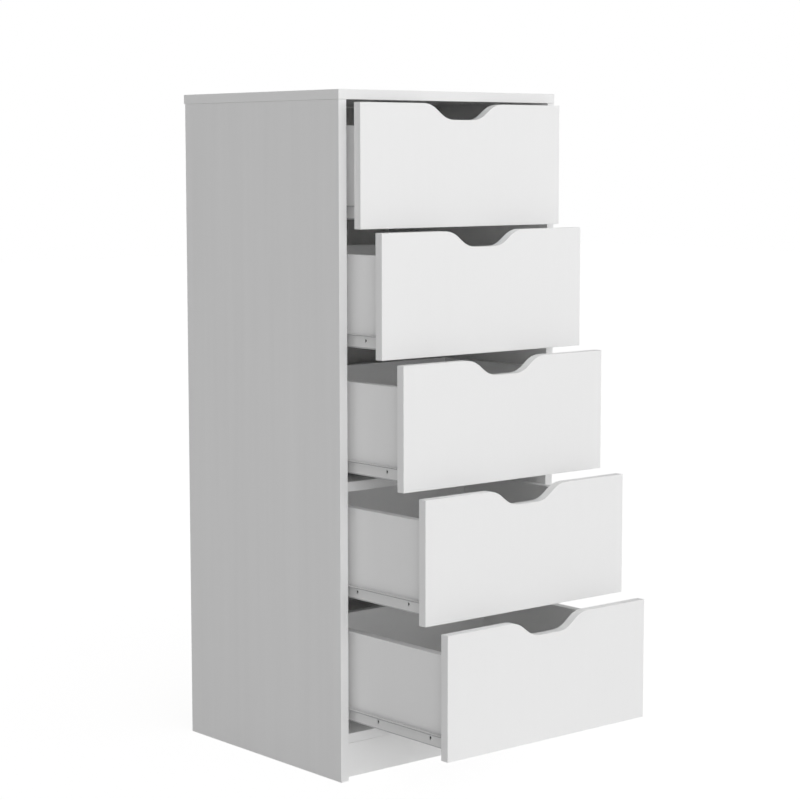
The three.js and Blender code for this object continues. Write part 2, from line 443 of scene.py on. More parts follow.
class Finish(Enum):
    """The finishes of the chest."""

    MELAMINE = Coat("white_melamine", grey(0.94), (0.88, 0.88, 0.875), grey(0.95))
    GRAINED_MELAMINE = Coat(
        "white_melamine", grey(0.94), grey(0.83), grey(0.95),
        streaks=0.8, stretch=(1.0, 1.0, 0.03), scale=42.0,
    )
    EDGE_BAND = Coat(
        "white_melamine", grey(0.93), grey(0.87), (0.76, 0.75, 0.74),
        roughness=0.38, stretch=EVEN, scale=25.0,
    )
    FOILED_BOARD = Coat(
        "fibreboard", (0.93, 0.93, 0.925), (0.86, 0.86, 0.85), (0.6, 0.5, 0.4),
        roughness=0.55, wear=0.15,
    )
    EPOXY = Coat(
        "coated_steel", grey(0.80), (0.74, 0.74, 0.73), grey(0.55), roughness=0.33, **SPRAYED
    )
    # Darker coat for the runners' bends and cut edges: painted shade for the shadow lines in the bends
    # and under the flange's outer edge, together with a thinner, worn coat there.
    WORN_EPOXY = Coat(
        "coated_steel", (0.50, 0.50, 0.51), (0.42, 0.42, 0.43), (0.40, 0.40, 0.41),
        roughness=0.40, **SPRAYED,
    )
    NYLON = Coat(
        "nylon", (0.74, 0.74, 0.70), (0.62, 0.62, 0.58), (0.50, 0.50, 0.47),
        roughness=0.42, stretch=EVEN, scale=160.0, wear_width=0.0005,
    )
    ZINC = Coat(
        "zinc", (0.42, 0.42, 0.41), grey(0.25), (0.62, 0.62, 0.60),
        roughness=0.32, wear_width=0.0003, **METAL,
    )
    DARK_SCREW = Coat(
        "zinc", grey(0.06), grey(0.03), grey(0.20), roughness=0.4, wear_width=0.0002, **METAL
    )
    BARE_FIBRE = ChipCoat("fibreboard", (0.42, 0.27, 0.16), (0.27, 0.16, 0.09), 700.0)
    BARE_CHIP = ChipCoat("white_melamine", (0.60, 0.45, 0.30), (0.34, 0.22, 0.13), 380.0)

    def material(self) -> bpy.types.Material:
        """Returns the finish's material, made when it is first used."""
        name = self.name.lower()
        if name not in bpy.data.materials:
            self.value.build(name)
        return bpy.data.materials[name]


# ---------------------------------------------------------------- mesh work


class Face(Enum):
    """The six sides of a board."""

    LEFT = (-1, 0, 0)
    RIGHT = (1, 0, 0)
    FRONT = (0, -1, 0)
    BACK = (0, 1, 0)
    UNDER = (0, 0, -1)
    TOP = (0, 0, 1)


@dataclass
class Piece:
    """One finished piece of the chest.

    Attributes:
        name: the piece's name.
        body: the moving body that it rides on.
        finish: its main finish.
        nodes: the frame's nodes that it stands for.
        faces: finishes of single sides, where they differ.
        marked: the finish of the faces that carry the mark 1.
    """

    name: str
    body: str
    finish: Finish
    nodes: tuple[str, ...] = ()
    faces: dict[Face, Finish] = field(default_factory=dict)
    marked: Finish | None = None

    def make(self, work: Work) -> None:
        """Turns finished mesh work into an object that rides on its body.

        Args:
            work: the closed mesh; it is freed.
        """
        marked = [self.marked] if self.marked else []
        kinds = [self.finish, *marked, *dict.fromkeys(self.faces.values())]
        work.normal_update()
        for polygon in work.faces:
            polygon.smooth = True
            for side, finish in self.faces.items():
                if polygon.normal.dot(Vector(side.value)) > FACING:
                    polygon.material_index = kinds.index(finish)
        mesh = bpy.data.meshes.new(self.name)
        work.to_mesh(mesh)
        work.free()
        for finish in kinds:
            mesh.materials.append(finish.material())
        made = bpy.data.objects.new(self.name, mesh)
        bpy.context.scene.collection.objects.link(made)
        made.modifiers.new("even_shading", "WEIGHTED_NORMAL").keep_sharp = True
        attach(made, self.body)
        if self.nodes:
            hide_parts(*self.nodes)
        LOG.info("%s rides on %s, %d faces", self.name, self.body, len(mesh.polygons))


def corners_of(node: str) -> tuple[Vector, Vector]:
    """Returns the lowest and the highest corner of a frame node."""
    low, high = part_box(node)
    return Vector(low), Vector(high)


def box_work(low: Vector, high: Vector) -> Work:
    """A sharp-edged box.

    Args:
        low: its lowest corner.
        high: its highest corner.

    Returns:
        The box's mesh work.
    """
    work = bmesh.new()
    bmesh.ops.create_cube(work, size=1.0)
    size = high - low
    middle = (high + low) / 2
    for vertex in work.verts:
        vertex.co = Vector(vertex.co[axis] * size[axis] + middle[axis] for axis in range(3))
    return work


def rounded_edges(work: Work, radius: float, steps: int = 3) -> None:
    """Rounds every edge that turns by more than 35 degrees.

    Args:
        work: the mesh to change.
        radius: the rounding's radius.
        steps: facets in a quarter turn.
    """
    limit = math.radians(35.0)
    work.normal_update()
    closed = [edge for edge in work.edges if len(edge.link_faces) == 2]
    sharp = [edge for edge in closed if edge.calc_face_angle(0.0) > limit]
    bmesh.ops.bevel(
        work,
        geom=sharp,
        offset=radius,
        offset_type="OFFSET",
        segments=steps,
        profile=0.5,
        affect="EDGES",
        clamp_overlap=True,
    )


def prism_work(points: Sequence[Point], start: float, end: float) -> Work:
    """An outline in X and Z, drawn out along Y.

    Args:
        points: the outline, counter-clockwise as seen from the front.
        start: the front end's Y.
        end: the rear end's Y.

    Returns:
        The prism's mesh work.
    """
    work = bmesh.new()
    near = [work.verts.new((x, start, z)) for x, z in points]
    far = [work.verts.new((x, end, z)) for x, z in points]
    work.faces.new(near)
    work.faces.new(list(reversed(far)))
    count = len(points)
    for i in range(count):
        k = (i + 1) % count
        work.faces.new((near[k], near[i], far[i], far[k]))
    bmesh.ops.recalc_face_normals(work, faces=work.faces)
    return work


def lathe_work(profile: Sequence[Point], steps: int, middle: Corner = (0, 0, 0)) -> Work:
    """A turned piece with its axis along X.

    Args:
        profile: distances along X and radii, from one end of the axis to the other; the first
            and the last radius are 0.
        steps: facets round the axis.
        middle: where the axis' zero lies.

    Returns:
        The turned piece's mesh work.
    """
    work = bmesh.new()
    middle = Vector(middle)
    first = work.verts.new(middle + Vector((profile[0][0], 0, 0)))
    last = work.verts.new(middle + Vector((profile[-1][0], 0, 0)))
    rings = []
    turns = [2 * math.pi * i / steps for i in range(steps)]
    for along, radius in profile[1:-1]:
        spots = [Vector((along, radius * math.cos(turn), radius * math.sin(turn))) for turn in turns]
        rings.append([work.verts.new(middle + spot) for spot in spots])
    for i in range(steps):
        k = (i + 1) % steps
        work.faces.new((first, rings[0][i], rings[0][k]))
        work.faces.new((last, rings[-1][k], rings[-1][i]))
        for one, other in zip(rings, rings[1:]):
            work.faces.new((one[i], other[i], other[k], one[k]))
    bmesh.ops.recalc_face_normals(work, faces=work.faces)
    return work


def joined(works: Iterable[Work]) -> Work:
    """Puts several mesh works in one, without merging them.

    Args:
        works: the mesh works; they are freed.

    Returns:
        One mesh work.
    """
    whole = bmesh.new()
    for work in works:
        part = bpy.data.meshes.new("part")
        work.to_mesh(part)
        work.free()
        whole.from_mesh(part)
        bpy.data.meshes.remove(part)
    return whole


def handed(work: Work, side: str) -> Work:
    """Mirrors a left piece in the plane X = 0 where it goes on the right.

    Args:
        work: the left piece, which is changed in place.
        side: left or right.

    Returns:
        The same mesh work.
    """
    if side == "right":
        bmesh.ops.transform(work, matrix=Matrix.Scale(-1, 4, (1, 0, 0)), verts=work.verts)
        bmesh.ops.reverse_faces(work, faces=work.faces)
    return work


def moved(work: Work, spot: Corner, turn: float = 0.0) -> Work:
    """Turns mesh work about the origin's Z axis and then moves it.

    Args:
        work: the mesh, which is changed in place.
        spot: where its origin goes.
        turn: the turn, in radians.

    Returns:
        The same mesh work.
    """
    matrix = Matrix.Translation(spot) @ Matrix.Rotation(turn, 4, "Z")
    bmesh.ops.transform(work, matrix=matrix, verts=work.verts)
    return work


def cut(work: Work, cutters: Iterable[Work]) -> Work:
    """Takes solids away from a solid.

    Args:
        work: the solid; it is freed.
        cutters: what is taken away; they are freed.

    Returns:
        What is left.
    """
    scene = bpy.context.scene.collection
    meshes = [bpy.data.meshes.new("blank"), bpy.data.meshes.new("tool")]
    for mesh, source in zip(meshes, (work, joined(cutters))):
        source.to_mesh(mesh)
        source.free()
    blank, tool = [bpy.data.objects.new(mesh.name, mesh) for mesh in meshes]
    scene.objects.link(blank)
    scene.objects.link(tool)
    step = blank.modifiers.new("cut", "BOOLEAN")
    step.operation = "DIFFERENCE"
    step.solver = "EXACT"
    step.use_self = True
    step.object = tool
    bpy.context.view_layer.update()
    result = bmesh.new()
    result.from_object(blank, bpy.context.evaluated_depsgraph_get())
    for item in (blank, tool):
        bpy.data.objects.remove(item)
    for mesh in meshes:
        bpy.data.meshes.remove(mesh)
    bmesh.ops.remove_doubles(result, verts=result.verts, dist=1e-7)
    return result


def crossed(work: Work, start: float, end: float, arm: float, blade: float) -> Work:
    """Cuts a cross recess in a turned piece.

    Args:
        work: the piece; it is freed.
        start: X of the recess' floor.
        end: X where the cutter ends.
        arm: half the recess' length.
        blade: half its width.

    Returns:
        What is left.
    """
    for long, wide in ((arm, blade), (blade, arm)):
        work = cut(work, [box_work(Vector((start, -long, -wide)), Vector((end, long, wide)))])
    return work


def arc_points(middle: Point, radius: float, start: float, end: float, steps: int) -> list[Point]:
    """Points on an arc.

    Args:
        middle: its centre.
        radius: its radius.
        start: the first angle, in radians.
        end: the last angle, in radians.
        steps: how many chords.

    Returns:
        The points, both ends included.
    """
    angles = [start + (end - start) * i / steps for i in range(steps + 1)]
    return [(middle[0] + radius * math.cos(a), middle[1] + radius * math.sin(a)) for a in angles]


def bent_sheet(
    path: Sequence[Point], thickness: float, bends: Sequence[float], steps: int = 5
) -> list[Point]:
    """The closed section of a sheet that is bent along a path.

    Args:
        path: the corners of the sheet's middle line.
        thickness: the sheet's thickness.
        bends: radius of the middle line at each inner corner.
        steps: chords in each bend.

    Returns:
        The section's outline.
    """
    corners = [Vector(point) for point in path]
    line = [(corners[0], (corners[1] - corners[0]).normalized())]
    for before, here, after, bend in zip(corners, corners[1:], corners[2:], bends):
        come = (here - before).normalized()
        go = (after - here).normalized()
        turn = come.angle_signed(go)
        reach = bend * math.tan(abs(turn) / 2)
        side = Vector((come.y, -come.x)) * (1 if turn > 0 else -1)
        middle = here - come * reach + side * bend
        spoke = -side * bend
        for i in range(steps + 1):
            spin = Matrix.Rotation(-turn * i / steps, 2)
            line.append((middle + spin @ spoke, spin @ come))
    line.append((corners[-1], (corners[-1] - corners[-2]).normalized()))
    half = thickness / 2
    left = [spot + Vector((-way.y, way.x)) * half for spot, way in line]
    right = [spot - Vector((-way.y, way.x)) * half for spot, way in line]
    return [tuple(point) for point in right + list(reversed(left))]


# ---------------------------------------------------------------- carcass


@dataclass
class Carcass:
    """The boards that stand still.

    Attributes:
        edge: rounding of the boards' edges.
        thin_edge: rounding of the thin back panel's edges.
        nail_pitch: distance between the back panel's nails.
        nail_inset: the nails' distance from the back panel's rim.
        nail_radius: radius of a nail's head.
        nail_height: how far a head stands out.
        body: the moving body that the boards ride on.
    """

    edge: float = 0.0005
    thin_edge: float = 0.0004
    nail_pitch: float = 0.105
    nail_inset: float = 0.0045
    nail_radius: float = 0.0035
    nail_height: float = 0.0009
    body: str = "carcass"

    def build(self) -> None:
        """Builds and dresses every board, and the nails."""
        rear = {Face.BACK: Finish.BARE_CHIP}
        foot = {Face.UNDER: Finish.BARE_CHIP}
        bands = {Face.FRONT: Finish.EDGE_BAND}
        rims = {**bands, **rear, **foot}
        self.board("left_side_panel", {**rims, Face.LEFT: Finish.GRAINED_MELAMINE})
        self.board("right_side_panel", {**rims, Face.RIGHT: Finish.GRAINED_MELAMINE})
        ends = {Face.LEFT: Finish.EDGE_BAND, Face.RIGHT: Finish.EDGE_BAND}
        self.board("top_panel", {**bands, **rear, **ends})
        self.board("bottom_panel", {**bands, **rear})
        self.board("middle_shelf", {**bands, **rear})
        self.board("plinth", foot)
        self.back_panel()

    def board(self, node: str, faces: dict[Face, Finish]) -> None:
        """Builds one melamine board.

        Args:
            node: the frame's node, and the piece's name with _board added.
            faces: the finishes of the sides that aren't plain melamine.
        """
        work = box_work(*corners_of(node))
        rounded_edges(work, self.edge)
        Piece(f"{node}_board", self.body, Finish.MELAMINE, (node,), faces).make(work)

    def back_panel(self) -> None:
        """Builds the thin back and the nails that hold it."""
        low, high = corners_of("back_panel")
        work = box_work(low, high)
        rounded_edges(work, self.thin_edge, steps=2)
        bare = {side: Finish.BARE_FIBRE for side in Face if side is not Face.FRONT}
        Piece("back_panel_board", self.body, Finish.FOILED_BOARD, ("back_panel",), bare).make(work)
        heads = [self.nail((x, high.y, z)) for x, z in self.nail_places(low, high)]
        Piece("back_panel_nails", self.body, Finish.ZINC).make(joined(heads))

    def nail_places(self, low: Vector, high: Vector) -> list[Point]:
        """Places of the nails along the sides, the shelf and the bottom.

        Args:
            low: the back panel's lowest corner.
            high: its highest corner.

        Returns:
            X and Z of each nail.
        """
        left, right = low.x + self.nail_inset, high.x - self.nail_inset
        levels = [sum(corners_of(node), Vector()).z / 2 for node in ("middle_shelf", "bottom_panel")]
        across = max(2, round((right - left) / self.nail_pitch))
        places = [(left + (right - left) * i / across, z) for z in levels for i in range(across + 1)]
        bottom, top = low.z + 2 * self.nail_inset, high.z - 2 * self.nail_inset
        up = round((top - bottom) / self.nail_pitch)
        for i in range(up + 1):
            z = bottom + (top - bottom) * i / up
            if min(abs(z - level) for level in levels) > 3 * self.nail_radius:
                places += [(left, z), (right, z)]
        return places

    def nail(self, spot: Corner) -> Work:
        """A flat domed nail head on the back panel.

        Args:
            spot: the head's middle, on the panel's rear face.

        Returns:
            The head's mesh work.
        """
        radius, height = self.nail_radius, self.nail_height
        profile = [(-0.0004, 0), (-0.0004, radius * 0.9), (0, radius), (height * 0.55, radius * 0.94)]
        profile += [(height * 0.85, radius * 0.7), (height, radius * 0.35), (height * 1.03, 0)]
        return moved(lathe_work(profile, 16), spot, math.pi / 2)


# ---------------------------------------------------------------- drawers


@dataclass
class FingerNotch:
    """The cut-out in a front's top edge, with a level floor and two S-shaped flanks.

    Attributes:
        width: at the top edge.
        floor: length of its level floor.
        depth: from the top edge to the floor.
        ease: how far each end of a flank runs level, as a share of the flank's run.
        steps: chords in one flank.
    """

    width: float = 0.166
    floor: float = 0.036
    depth: float = 0.025
    ease: float = 0.5
    steps: int = 28

    def flank(self, x: float, top: float, side: int) -> list[Point]:
        """One flank, from the rim down to the floor.

        Args:
            x: the notch's middle.
            top: height of the front's top edge.
            side: -1 for the left flank and 1 for the right one.

        Returns:
            The flank's points.
        """
        rim, foot = self.width / 2, self.floor / 2
        level = self.ease * (rim - foot)
        points = []
        for i in range(self.steps + 1):
            t = i / self.steps
            share = ((1 - t) ** 3, 3 * (1 - t) ** 2 * t, 3 * (1 - t) * t * t, t**3)
            out = sum(w * d for w, d in zip(share, (rim, rim - level, foot + level, foot)))
            points.append((x + side * out, top - self.depth * (share[2] + share[3])))
        return points

    def edge(self, x: float, top: float) -> list[Point]:
        """The whole notch, from the right rim to the left one.

        Args:
            x: the notch's middle.
            top: height of the front's top edge.

        Returns:
            The notch's points.
        """
        return self.flank(x, top, 1) + list(reversed(self.flank(x, top, -1)))


@dataclass
class Runner:
    """The coated steel runners of one drawer side, drawn for the left side.

    Attributes:
        steel: the sheet's thickness.
        bend: radius of the sheet's middle line in a tight bend.
        foot_bend: radius of the middle line where the drawer's runner turns under the drawer.
        screw_rise: the screws' height above the drawer runner's underside.
        screw_inset: the first screw's distance from the front end of the drawer side.
        screw_pitch: distance from one screw to the next.
        slot_length: length of a screw's slot.
        slot_width: width of a screw's slot.
        axle: radius of a roller's axle.
        axle_reach: how far the axle reaches past the roller.
        roller_inset: the axle's distance from the runner's end.
        running_gap: clearance at the sides of a roller.
        play: clearance between a roller and the flange opposite its own.
        screws: screws in each drawer runner.
        trim: what is left of the flanges past the drawer runner's rear end.
        channel_shift: the first slot of a channel lies this much behind the drawer's first screw.
        channel_margin: the last slot's distance from the channel's rear end.
    """

    steel: float = 0.0012
    bend: float = 0.0012
    foot_bend: float = 0.0018
    screw_rise: float = 0.0126
    screw_inset: float = 0.0335
    screw_pitch: float = 0.122
    slot_length: float = 0.0062
    slot_width: float = 0.0038
    axle: float = 0.0025
    axle_reach: float = 0.0004
    roller_inset: float = 0.014
    running_gap: float = 0.0011
    play: float = 0.0013
    screws: int = 3
    trim: float = 0.0006
    channel_shift: float = 0.01
    channel_margin: float = 0.03

    def slot_cutter(self, spot: Corner) -> Work:
        """A bar of slot section that runs across a steel sheet.

        Args:
            spot: the slot's middle.

        Returns:
            The cutter's mesh work.
        """
        radius = self.slot_width / 2
        rise = (self.slot_length - self.slot_width) / 2
        section = arc_points((0, rise), radius, 0, math.pi, 8)
        section += arc_points((0, -rise), radius, math.pi, 2 * math.pi, 8)
        return moved(prism_work(section, -4 * self.steel, 4 * self.steel), spot, math.pi / 2)

    def drawer_member(self, low: Vector, high: Vector, side_face: float) -> Work:
        """The drawer's own runner.

        Args:
            low: lowest corner of the left runner.
            high: its highest corner.
            side_face: X of the drawer side's outer face.

        Returns:
            The runner's mesh work.
        """
        half = self.steel / 2
        plate = side_face - FIT - half
        under, above = low.z + half, high.z - half
        path = [(high.x, under), (plate, under), (plate, above), (low.x, above)]
        section = bent_sheet(path, self.steel, (self.foot_bend, self.bend))
        rear_low = Vector((low.x - OVERRUN, high.y - 2 * self.roller_inset, low.z - OVERRUN))
        rear_high = Vector((plate - half - self.trim, high.y + OVERRUN, high.z + OVERRUN))
        level = low.z + self.screw_rise
        slots = [self.slot_cutter((plate, y, level)) for y in self.screw_places(low.y)]
        member = cut(prism_work(section, low.y, high.y), [box_work(rear_low, rear_high), *slots])
        self.mark_shade_and_wear(member, low.x)
        return member

    def mark_shade_and_wear(self, work: Work, rim: float) -> None:
        """Marks the bends and the cut edges for a darker coat, which paints the shade in the bends and
        under the flange's outer edge and also stands for the thinner coat there.

        Args:
            work: the bent and cut runner.
            rim: X of its outer cut edge.
        """
        work.normal_update()
        for polygon in work.faces:
            flat = max(abs(share) for share in polygon.normal) > FACING
            at_rim = abs(polygon.calc_center_median().x - rim) < self.steel / 4
            # Index 1 gets the darker coat: painted shade in the bends and along the cut rim, with some
            # coat wear.
            polygon.material_index = int(at_rim or not flat)

    def screw_places(self, start: float) -> list[float]:
        """Returns Y of each screw, counted from the runner's front end."""
        return [start + self.screw_inset + i * self.screw_pitch for i in range(self.screws)]

    def channel(self, low: Vector, high: Vector) -> Work:
        """The carcass's runner, a channel open towards the drawer.

        Args:
            low: lowest corner of the left channel.
            high: its highest corner.

        Returns:
            The channel's mesh work.
        """
        half = self.steel / 2
        web, under, above = low.x + half, low.z + half, high.z - half
        path = [(high.x, above), (web, above), (web, under), (high.x, under)]
        section = bent_sheet(path, self.steel, (self.bend, self.bend))
        middle = (low.z + high.z) / 2
        first = low.y + self.screw_inset + self.channel_shift
        places = (first, (low.y + high.y) / 2, high.y - self.channel_margin)
        slots = [self.slot_cutter((web, y, middle)) for y in places]
        return cut(prism_work(section, low.y, high.y), slots)

    def roller(self, near: float, far: float, y: float, z: float, radius: float) -> Work:
        """A nylon roller with a rounded tread and a dished face.

        Args:
            near: X of its face next to the drawer side.
            far: X of its other face.
            y: its axle's place along the runner.
            z: its axle's height.
            radius: its radius.

        Returns:
            The roller's mesh work.
        """
        width = near - far
        rim = 0.0008
        dish = width * 0.22
        hub = self.axle * 1.7
        half_profile = [(dish, 0), (dish, hub), (dish * 1.6, hub * 1.15), (dish * 1.6, radius * 0.74)]
        half_profile += [(rim * 0.2, radius * 0.82), (0, radius - rim)]
        half_profile += [(rim * 0.4, radius - rim * 0.3), (rim, radius)]
        other = [(width - along, reach) for along, reach in reversed(half_profile)]
        return lathe_work(half_profile + other, 40, (far, y, z))

    def rivet(self, start: float, end: float, y: float, z: float) -> Work:
        """The axle of a roller, with a low head at its far end.

        Args:
            start: X where the axle leaves the steel.
            end: X of the head's outer face.
            y: the axle's place along the runner.
            z: its height.

        Returns:
            The rivet's mesh work.
        """
        reach = end - start
        head = math.copysign(0.0007, reach)
        shaft = self.axle * 0.9
        profile = [(0, 0), (0, shaft), (reach - head, shaft), (reach - head, self.axle * 1.5)]
        profile += [(reach - head * 0.3, self.axle * 1.4), (reach, shaft), (reach, 0)]
        return lathe_work(profile, 24, (start, y, z))

    def screw(self, spot: Corner) -> Work:
        """A pan-head screw with a cross recess, which looks to -X.

        Args:
            spot: the middle of the head, on the face that it sits on.

        Returns:
            The screw's mesh work.
        """
        shank, sunk, radius, height = 0.0011, 0.002, 0.0018, 0.0005
        profile = [(-sunk, 0), (-sunk, shank), (0, shank), (0, radius), (height * 0.5, radius * 0.96)]
        profile += [(height * 0.85, radius * 0.72), (height, radius * 0.4), (height, 0)]
        head = lathe_work(profile, 20)
        recessed = crossed(head, height * 0.35, height * 2, radius * 0.62, radius * 0.13)
        return moved(recessed, spot, math.pi)


@dataclass
class Fittings:
    """The cams and screws that hold a drawer's boards together.

    Attributes:
        cam_radius: radius of a cam.
        cam_inset: a cam's distance from the front.
        cam_margin: a cam's distance from the lower and the upper edge of a side.
        screw_radius: radius of a flat screw head.
        screw_margin: a screw's distance from the lower and the upper edge of the back.
        proud: how far a cam or a head stands out of the board.
        sunk: how deep it reaches into the board.
    """

    cam_radius: float = 0.0075
    cam_inset: float = 0.034
    cam_margin: float = 0.036
    screw_radius: float = 0.0036
    screw_margin: float = 0.030
    proud: float = 0.0002
    sunk: float = 0.0016

    def disc(self, radius: float) -> Work:
        """A shallow disc with a softened rim, which looks to +X.

        Args:
            radius: its radius.

        Returns:
            The disc's mesh work.
        """
        rim = 0.0003
        profile = [(-self.sunk, 0), (-self.sunk, radius), (self.proud - rim, radius)]
        profile += [(self.proud - rim * 0.3, radius - rim * 0.3)]
        profile += [(self.proud, radius - rim), (self.proud, 0)]
        return lathe_work(profile, 36)

    def cam(self) -> Work:
        """A cam with a cross slot."""
        arm, blade, deep = self.cam_radius * 0.55, self.cam_radius * 0.13, 0.0011
        return crossed(self.disc(self.cam_radius), -deep, deep, arm, blade)

    def socket_screw(self) -> Work:
        """Returns a flat screw head with a six-sided socket."""
        size, deep = self.screw_radius * 0.52, 0.0012
        turns = [math.pi * i / 3 for i in range(6)]
        corners = [(size * math.cos(turn), size * math.sin(turn)) for turn in turns]
        socket = moved(prism_work(corners, -deep, deep), (0, 0, 0), math.pi / 2)
        return cut(self.disc(self.screw_radius), [socket])


@dataclass
class Drawer:
    """One drawer and the running gear on both sides of it.

    Attributes:
        number: 1 for the top drawer.
        edge: rounding of the front's edges.
        box_edge: rounding of the box boards' edges.
        bottom_edge: rounding of the thin bottom's edges.
        notch: the front's finger notch.
        runner: the runners of both sides.
        fittings: what joins the boards.
    """

    number: int
    edge: float = 0.0006
    box_edge: float = 0.0006
    bottom_edge: float = 0.0003
    notch: FingerNotch = field(default_factory=FingerNotch)
    runner: Runner = field(default_factory=Runner)
    fittings: Fittings = field(default_factory=Fittings)

    @property
    def body(self) -> str:
        """Returns the name of the drawer's moving body."""
        return f"drawer_{self.number}"

    def node(self, part: str) -> str:
        """Returns the frame's name of one of the drawer's parts."""
        return f"{self.body}_{part}"

    def build(self) -> None:
        """Builds and dresses the whole drawer and its two carcass runners."""
        self.front()
        for side in ("left", "right"):
            self.box_side(side)
        self.box_back()
        self.box_bottom()
        self.cams()
        self.back_screws()
        for side in ("left", "right"):
            self.running_gear(side)

    def grooved(self, work: Work, start: float, end: float) -> Work:
        """Cuts the groove for the bottom.

        Args:
            work: the board; it is freed.
            start: Y where the groove begins.
            end: Y where the cutter ends.

        Returns:
            The grooved board.
        """
        low, high = corners_of(self.node("bottom"))
        near = Vector((low.x - FIT, start, low.z - FIT))
        far = Vector((high.x + FIT, end, high.z + FIT))
        return cut(work, [box_work(near, far)])

    def front(self) -> None:
        """Builds the front with its finger notch."""
        low, high = corners_of(self.node("front"))
        notch = self.notch.edge((low.x + high.x) / 2, high.z)
        points = [(low.x, low.z), (high.x, low.z), (high.x, high.z), *notch, (low.x, high.z)]
        work = prism_work(points, low.y, high.y)
        rounded_edges(work, self.edge)
        bottom_front = corners_of(self.node("bottom"))[0].y
        work = self.grooved(work, bottom_front - FIT, high.y + OVERRUN)
        banded = dict.fromkeys((Face.LEFT, Face.RIGHT, Face.UNDER, Face.TOP), Finish.EDGE_BAND)
        self.board("front", work, banded)

    def board(self, part: str, work: Work, faces: dict[Face, Finish]) -> None:
        """Dresses one melamine board.

        Args:
            part: the part's name within the drawer.
            work: its finished mesh; it is freed.
            faces: the finishes of the sides that aren't plain melamine.
        """
        node = self.node(part)
        Piece(f"{node}_board", self.body, Finish.MELAMINE, (node,), faces).make(work)

    def box_side(self, side: str) -> None:
        """Builds one side of the box, with the groove for the bottom.

        Args:
            side: left or right.
        """
        low, high = corners_of(self.node(f"{side}_side"))
        work = box_work(low, high)
        rounded_edges(work, self.box_edge)
        work = self.grooved(work, low.y - OVERRUN, high.y + OVERRUN)
        banded = {Face.TOP: Finish.EDGE_BAND, Face.UNDER: Finish.EDGE_BAND, Face.BACK: Finish.BARE_CHIP}
        self.board(f"{side}_side", work, banded)

    def box_back(self) -> None:
        """Builds the back of the box."""
        work = box_work(*corners_of(self.node("back")))
        rounded_edges(work, self.box_edge)
        self.board("back", work, dict.fromkeys((Face.TOP, Face.UNDER), Finish.EDGE_BAND))

    def box_bottom(self) -> None:
        """Builds the thin bottom."""
        node = self.node("bottom")
        work = box_work(*corners_of(node))
        rounded_edges(work, self.bottom_edge, steps=2)
        Piece(f"{node}_board", self.body, Finish.FOILED_BOARD, (node,)).make(work)

    def fasten(
        self, kind: str, fitting: Fitting, inward: bool, y: float, levels: Sequence[float]
    ) -> None:
        """Sets fittings in both sides of the box.

        Args:
            kind: the piece's name within the drawer.
            fitting: makes one fitting, which looks to +X.
            inward: whether they look into the box.
            y: their place along the sides.
            levels: their heights.
        """
        works = []
        for side in ("left", "right"):
            low, high = corners_of(self.node(f"{side}_side"))
            to_right = inward == (side == "left")
            face, turn = (high.x, 0.0) if to_right else (low.x, math.pi)
            works += [moved(fitting(), (face, y, z), turn) for z in levels]
        Piece(self.node(kind), self.body, Finish.ZINC).make(joined(works))

    def cams(self) -> None:
        """Builds the cams that pull both sides to the front, on the sides' inner faces."""
        kit = self.fittings
        low, high = corners_of(self.node("left_side"))
        levels = (low.z + kit.cam_margin, high.z - kit.cam_margin)
        self.fasten("cams", kit.cam, True, low.y + kit.cam_inset, levels)

    def back_screws(self) -> None:
        """Builds the screws that hold the back, on the sides' outer faces."""
        kit = self.fittings
        low, high = corners_of(self.node("back"))
        levels = (low.z + kit.screw_margin, high.z - kit.screw_margin)
        self.fasten("back_screws", kit.socket_screw, False, (low.y + high.y) / 2, levels)

    def running_gear(self, side: str) -> None:
        """Builds both runners of one side, with rollers and screws.

        Args:
            side: left or right.
        """
        gear = self.runner
        moving = self.node(f"{side}_runner")
        fixed = f"carcass_{self.number}_{side}_runner"
        side_face = corners_of(self.node("left_side"))[0].x
        low, high = corners_of(self.node("left_runner"))
        still_low, still_high = corners_of(f"carcass_{self.number}_left_runner")
        # The darker coat on the bends and the cut rim is painted shade, with some coat wear.
        member = Piece(f"{moving}_steel", self.body, Finish.EPOXY, (moving,), marked=Finish.WORN_EPOXY)
        member.make(handed(gear.drawer_member(low, high, side_face), side))
        channel = Piece(f"{fixed}_steel", Carcass.body, Finish.EPOXY, (fixed,))
        channel.make(handed(gear.channel(still_low, still_high), side))

        plate = side_face - FIT - gear.steel
        near = plate - gear.running_gap
        far = low.x + gear.steel + gear.running_gap
        radius = (high.z - low.z) / 2 - gear.steel - gear.play
        rear = (high.y - gear.roller_inset, still_low.z + gear.steel + FIT + radius)
        front = (still_low.y + gear.roller_inset, high.z - gear.steel - FIT - radius)
        rear_rivet = gear.rivet(plate, far - gear.axle_reach, *rear)
        front_rivet = gear.rivet(still_low.x + gear.steel, near + gear.axle_reach, *front)
        sheet, level = plate + gear.steel / 2, low.z + gear.screw_rise
        screws = [gear.screw((sheet, y, level)) for y in gear.screw_places(low.y)]
        fittings = (
            (f"{moving}_roller", self.body, Finish.NYLON, gear.roller(near, far, *rear, radius)),
            (f"{fixed}_roller", Carcass.body, Finish.NYLON, gear.roller(near, far, *front, radius)),
            (f"{moving}_screws", self.body, Finish.DARK_SCREW, joined(screws)),
            (f"{moving}_rivet", self.body, Finish.ZINC, rear_rivet),
            (f"{fixed}_rivet", Carcass.body, Finish.ZINC, front_rivet),
        )
        for name, body, finish, work in fittings:
            Piece(name, body, finish).make(handed(work, side))


# ---------------------------------------------------------------- studio


@dataclass(frozen=True)
class SoftGlow:
    """A broad patch of light in the surround, brightest at its middle.

    Attributes:
        heading: where it lies, turned from the front (-Y) towards the right (+X), in degrees.
        height: its height above the horizon, in degrees.
        strength: its brightness at its middle.
    """

    heading: float
    height: float
    strength: float

    def axis(self) -> Corner:
        """Returns the direction of the patch's middle."""
        turn, lift = math.radians(self.heading), math.radians(self.height)
        return (math.sin(turn) * math.cos(lift), -math.cos(turn) * math.cos(lift), math.sin(lift))


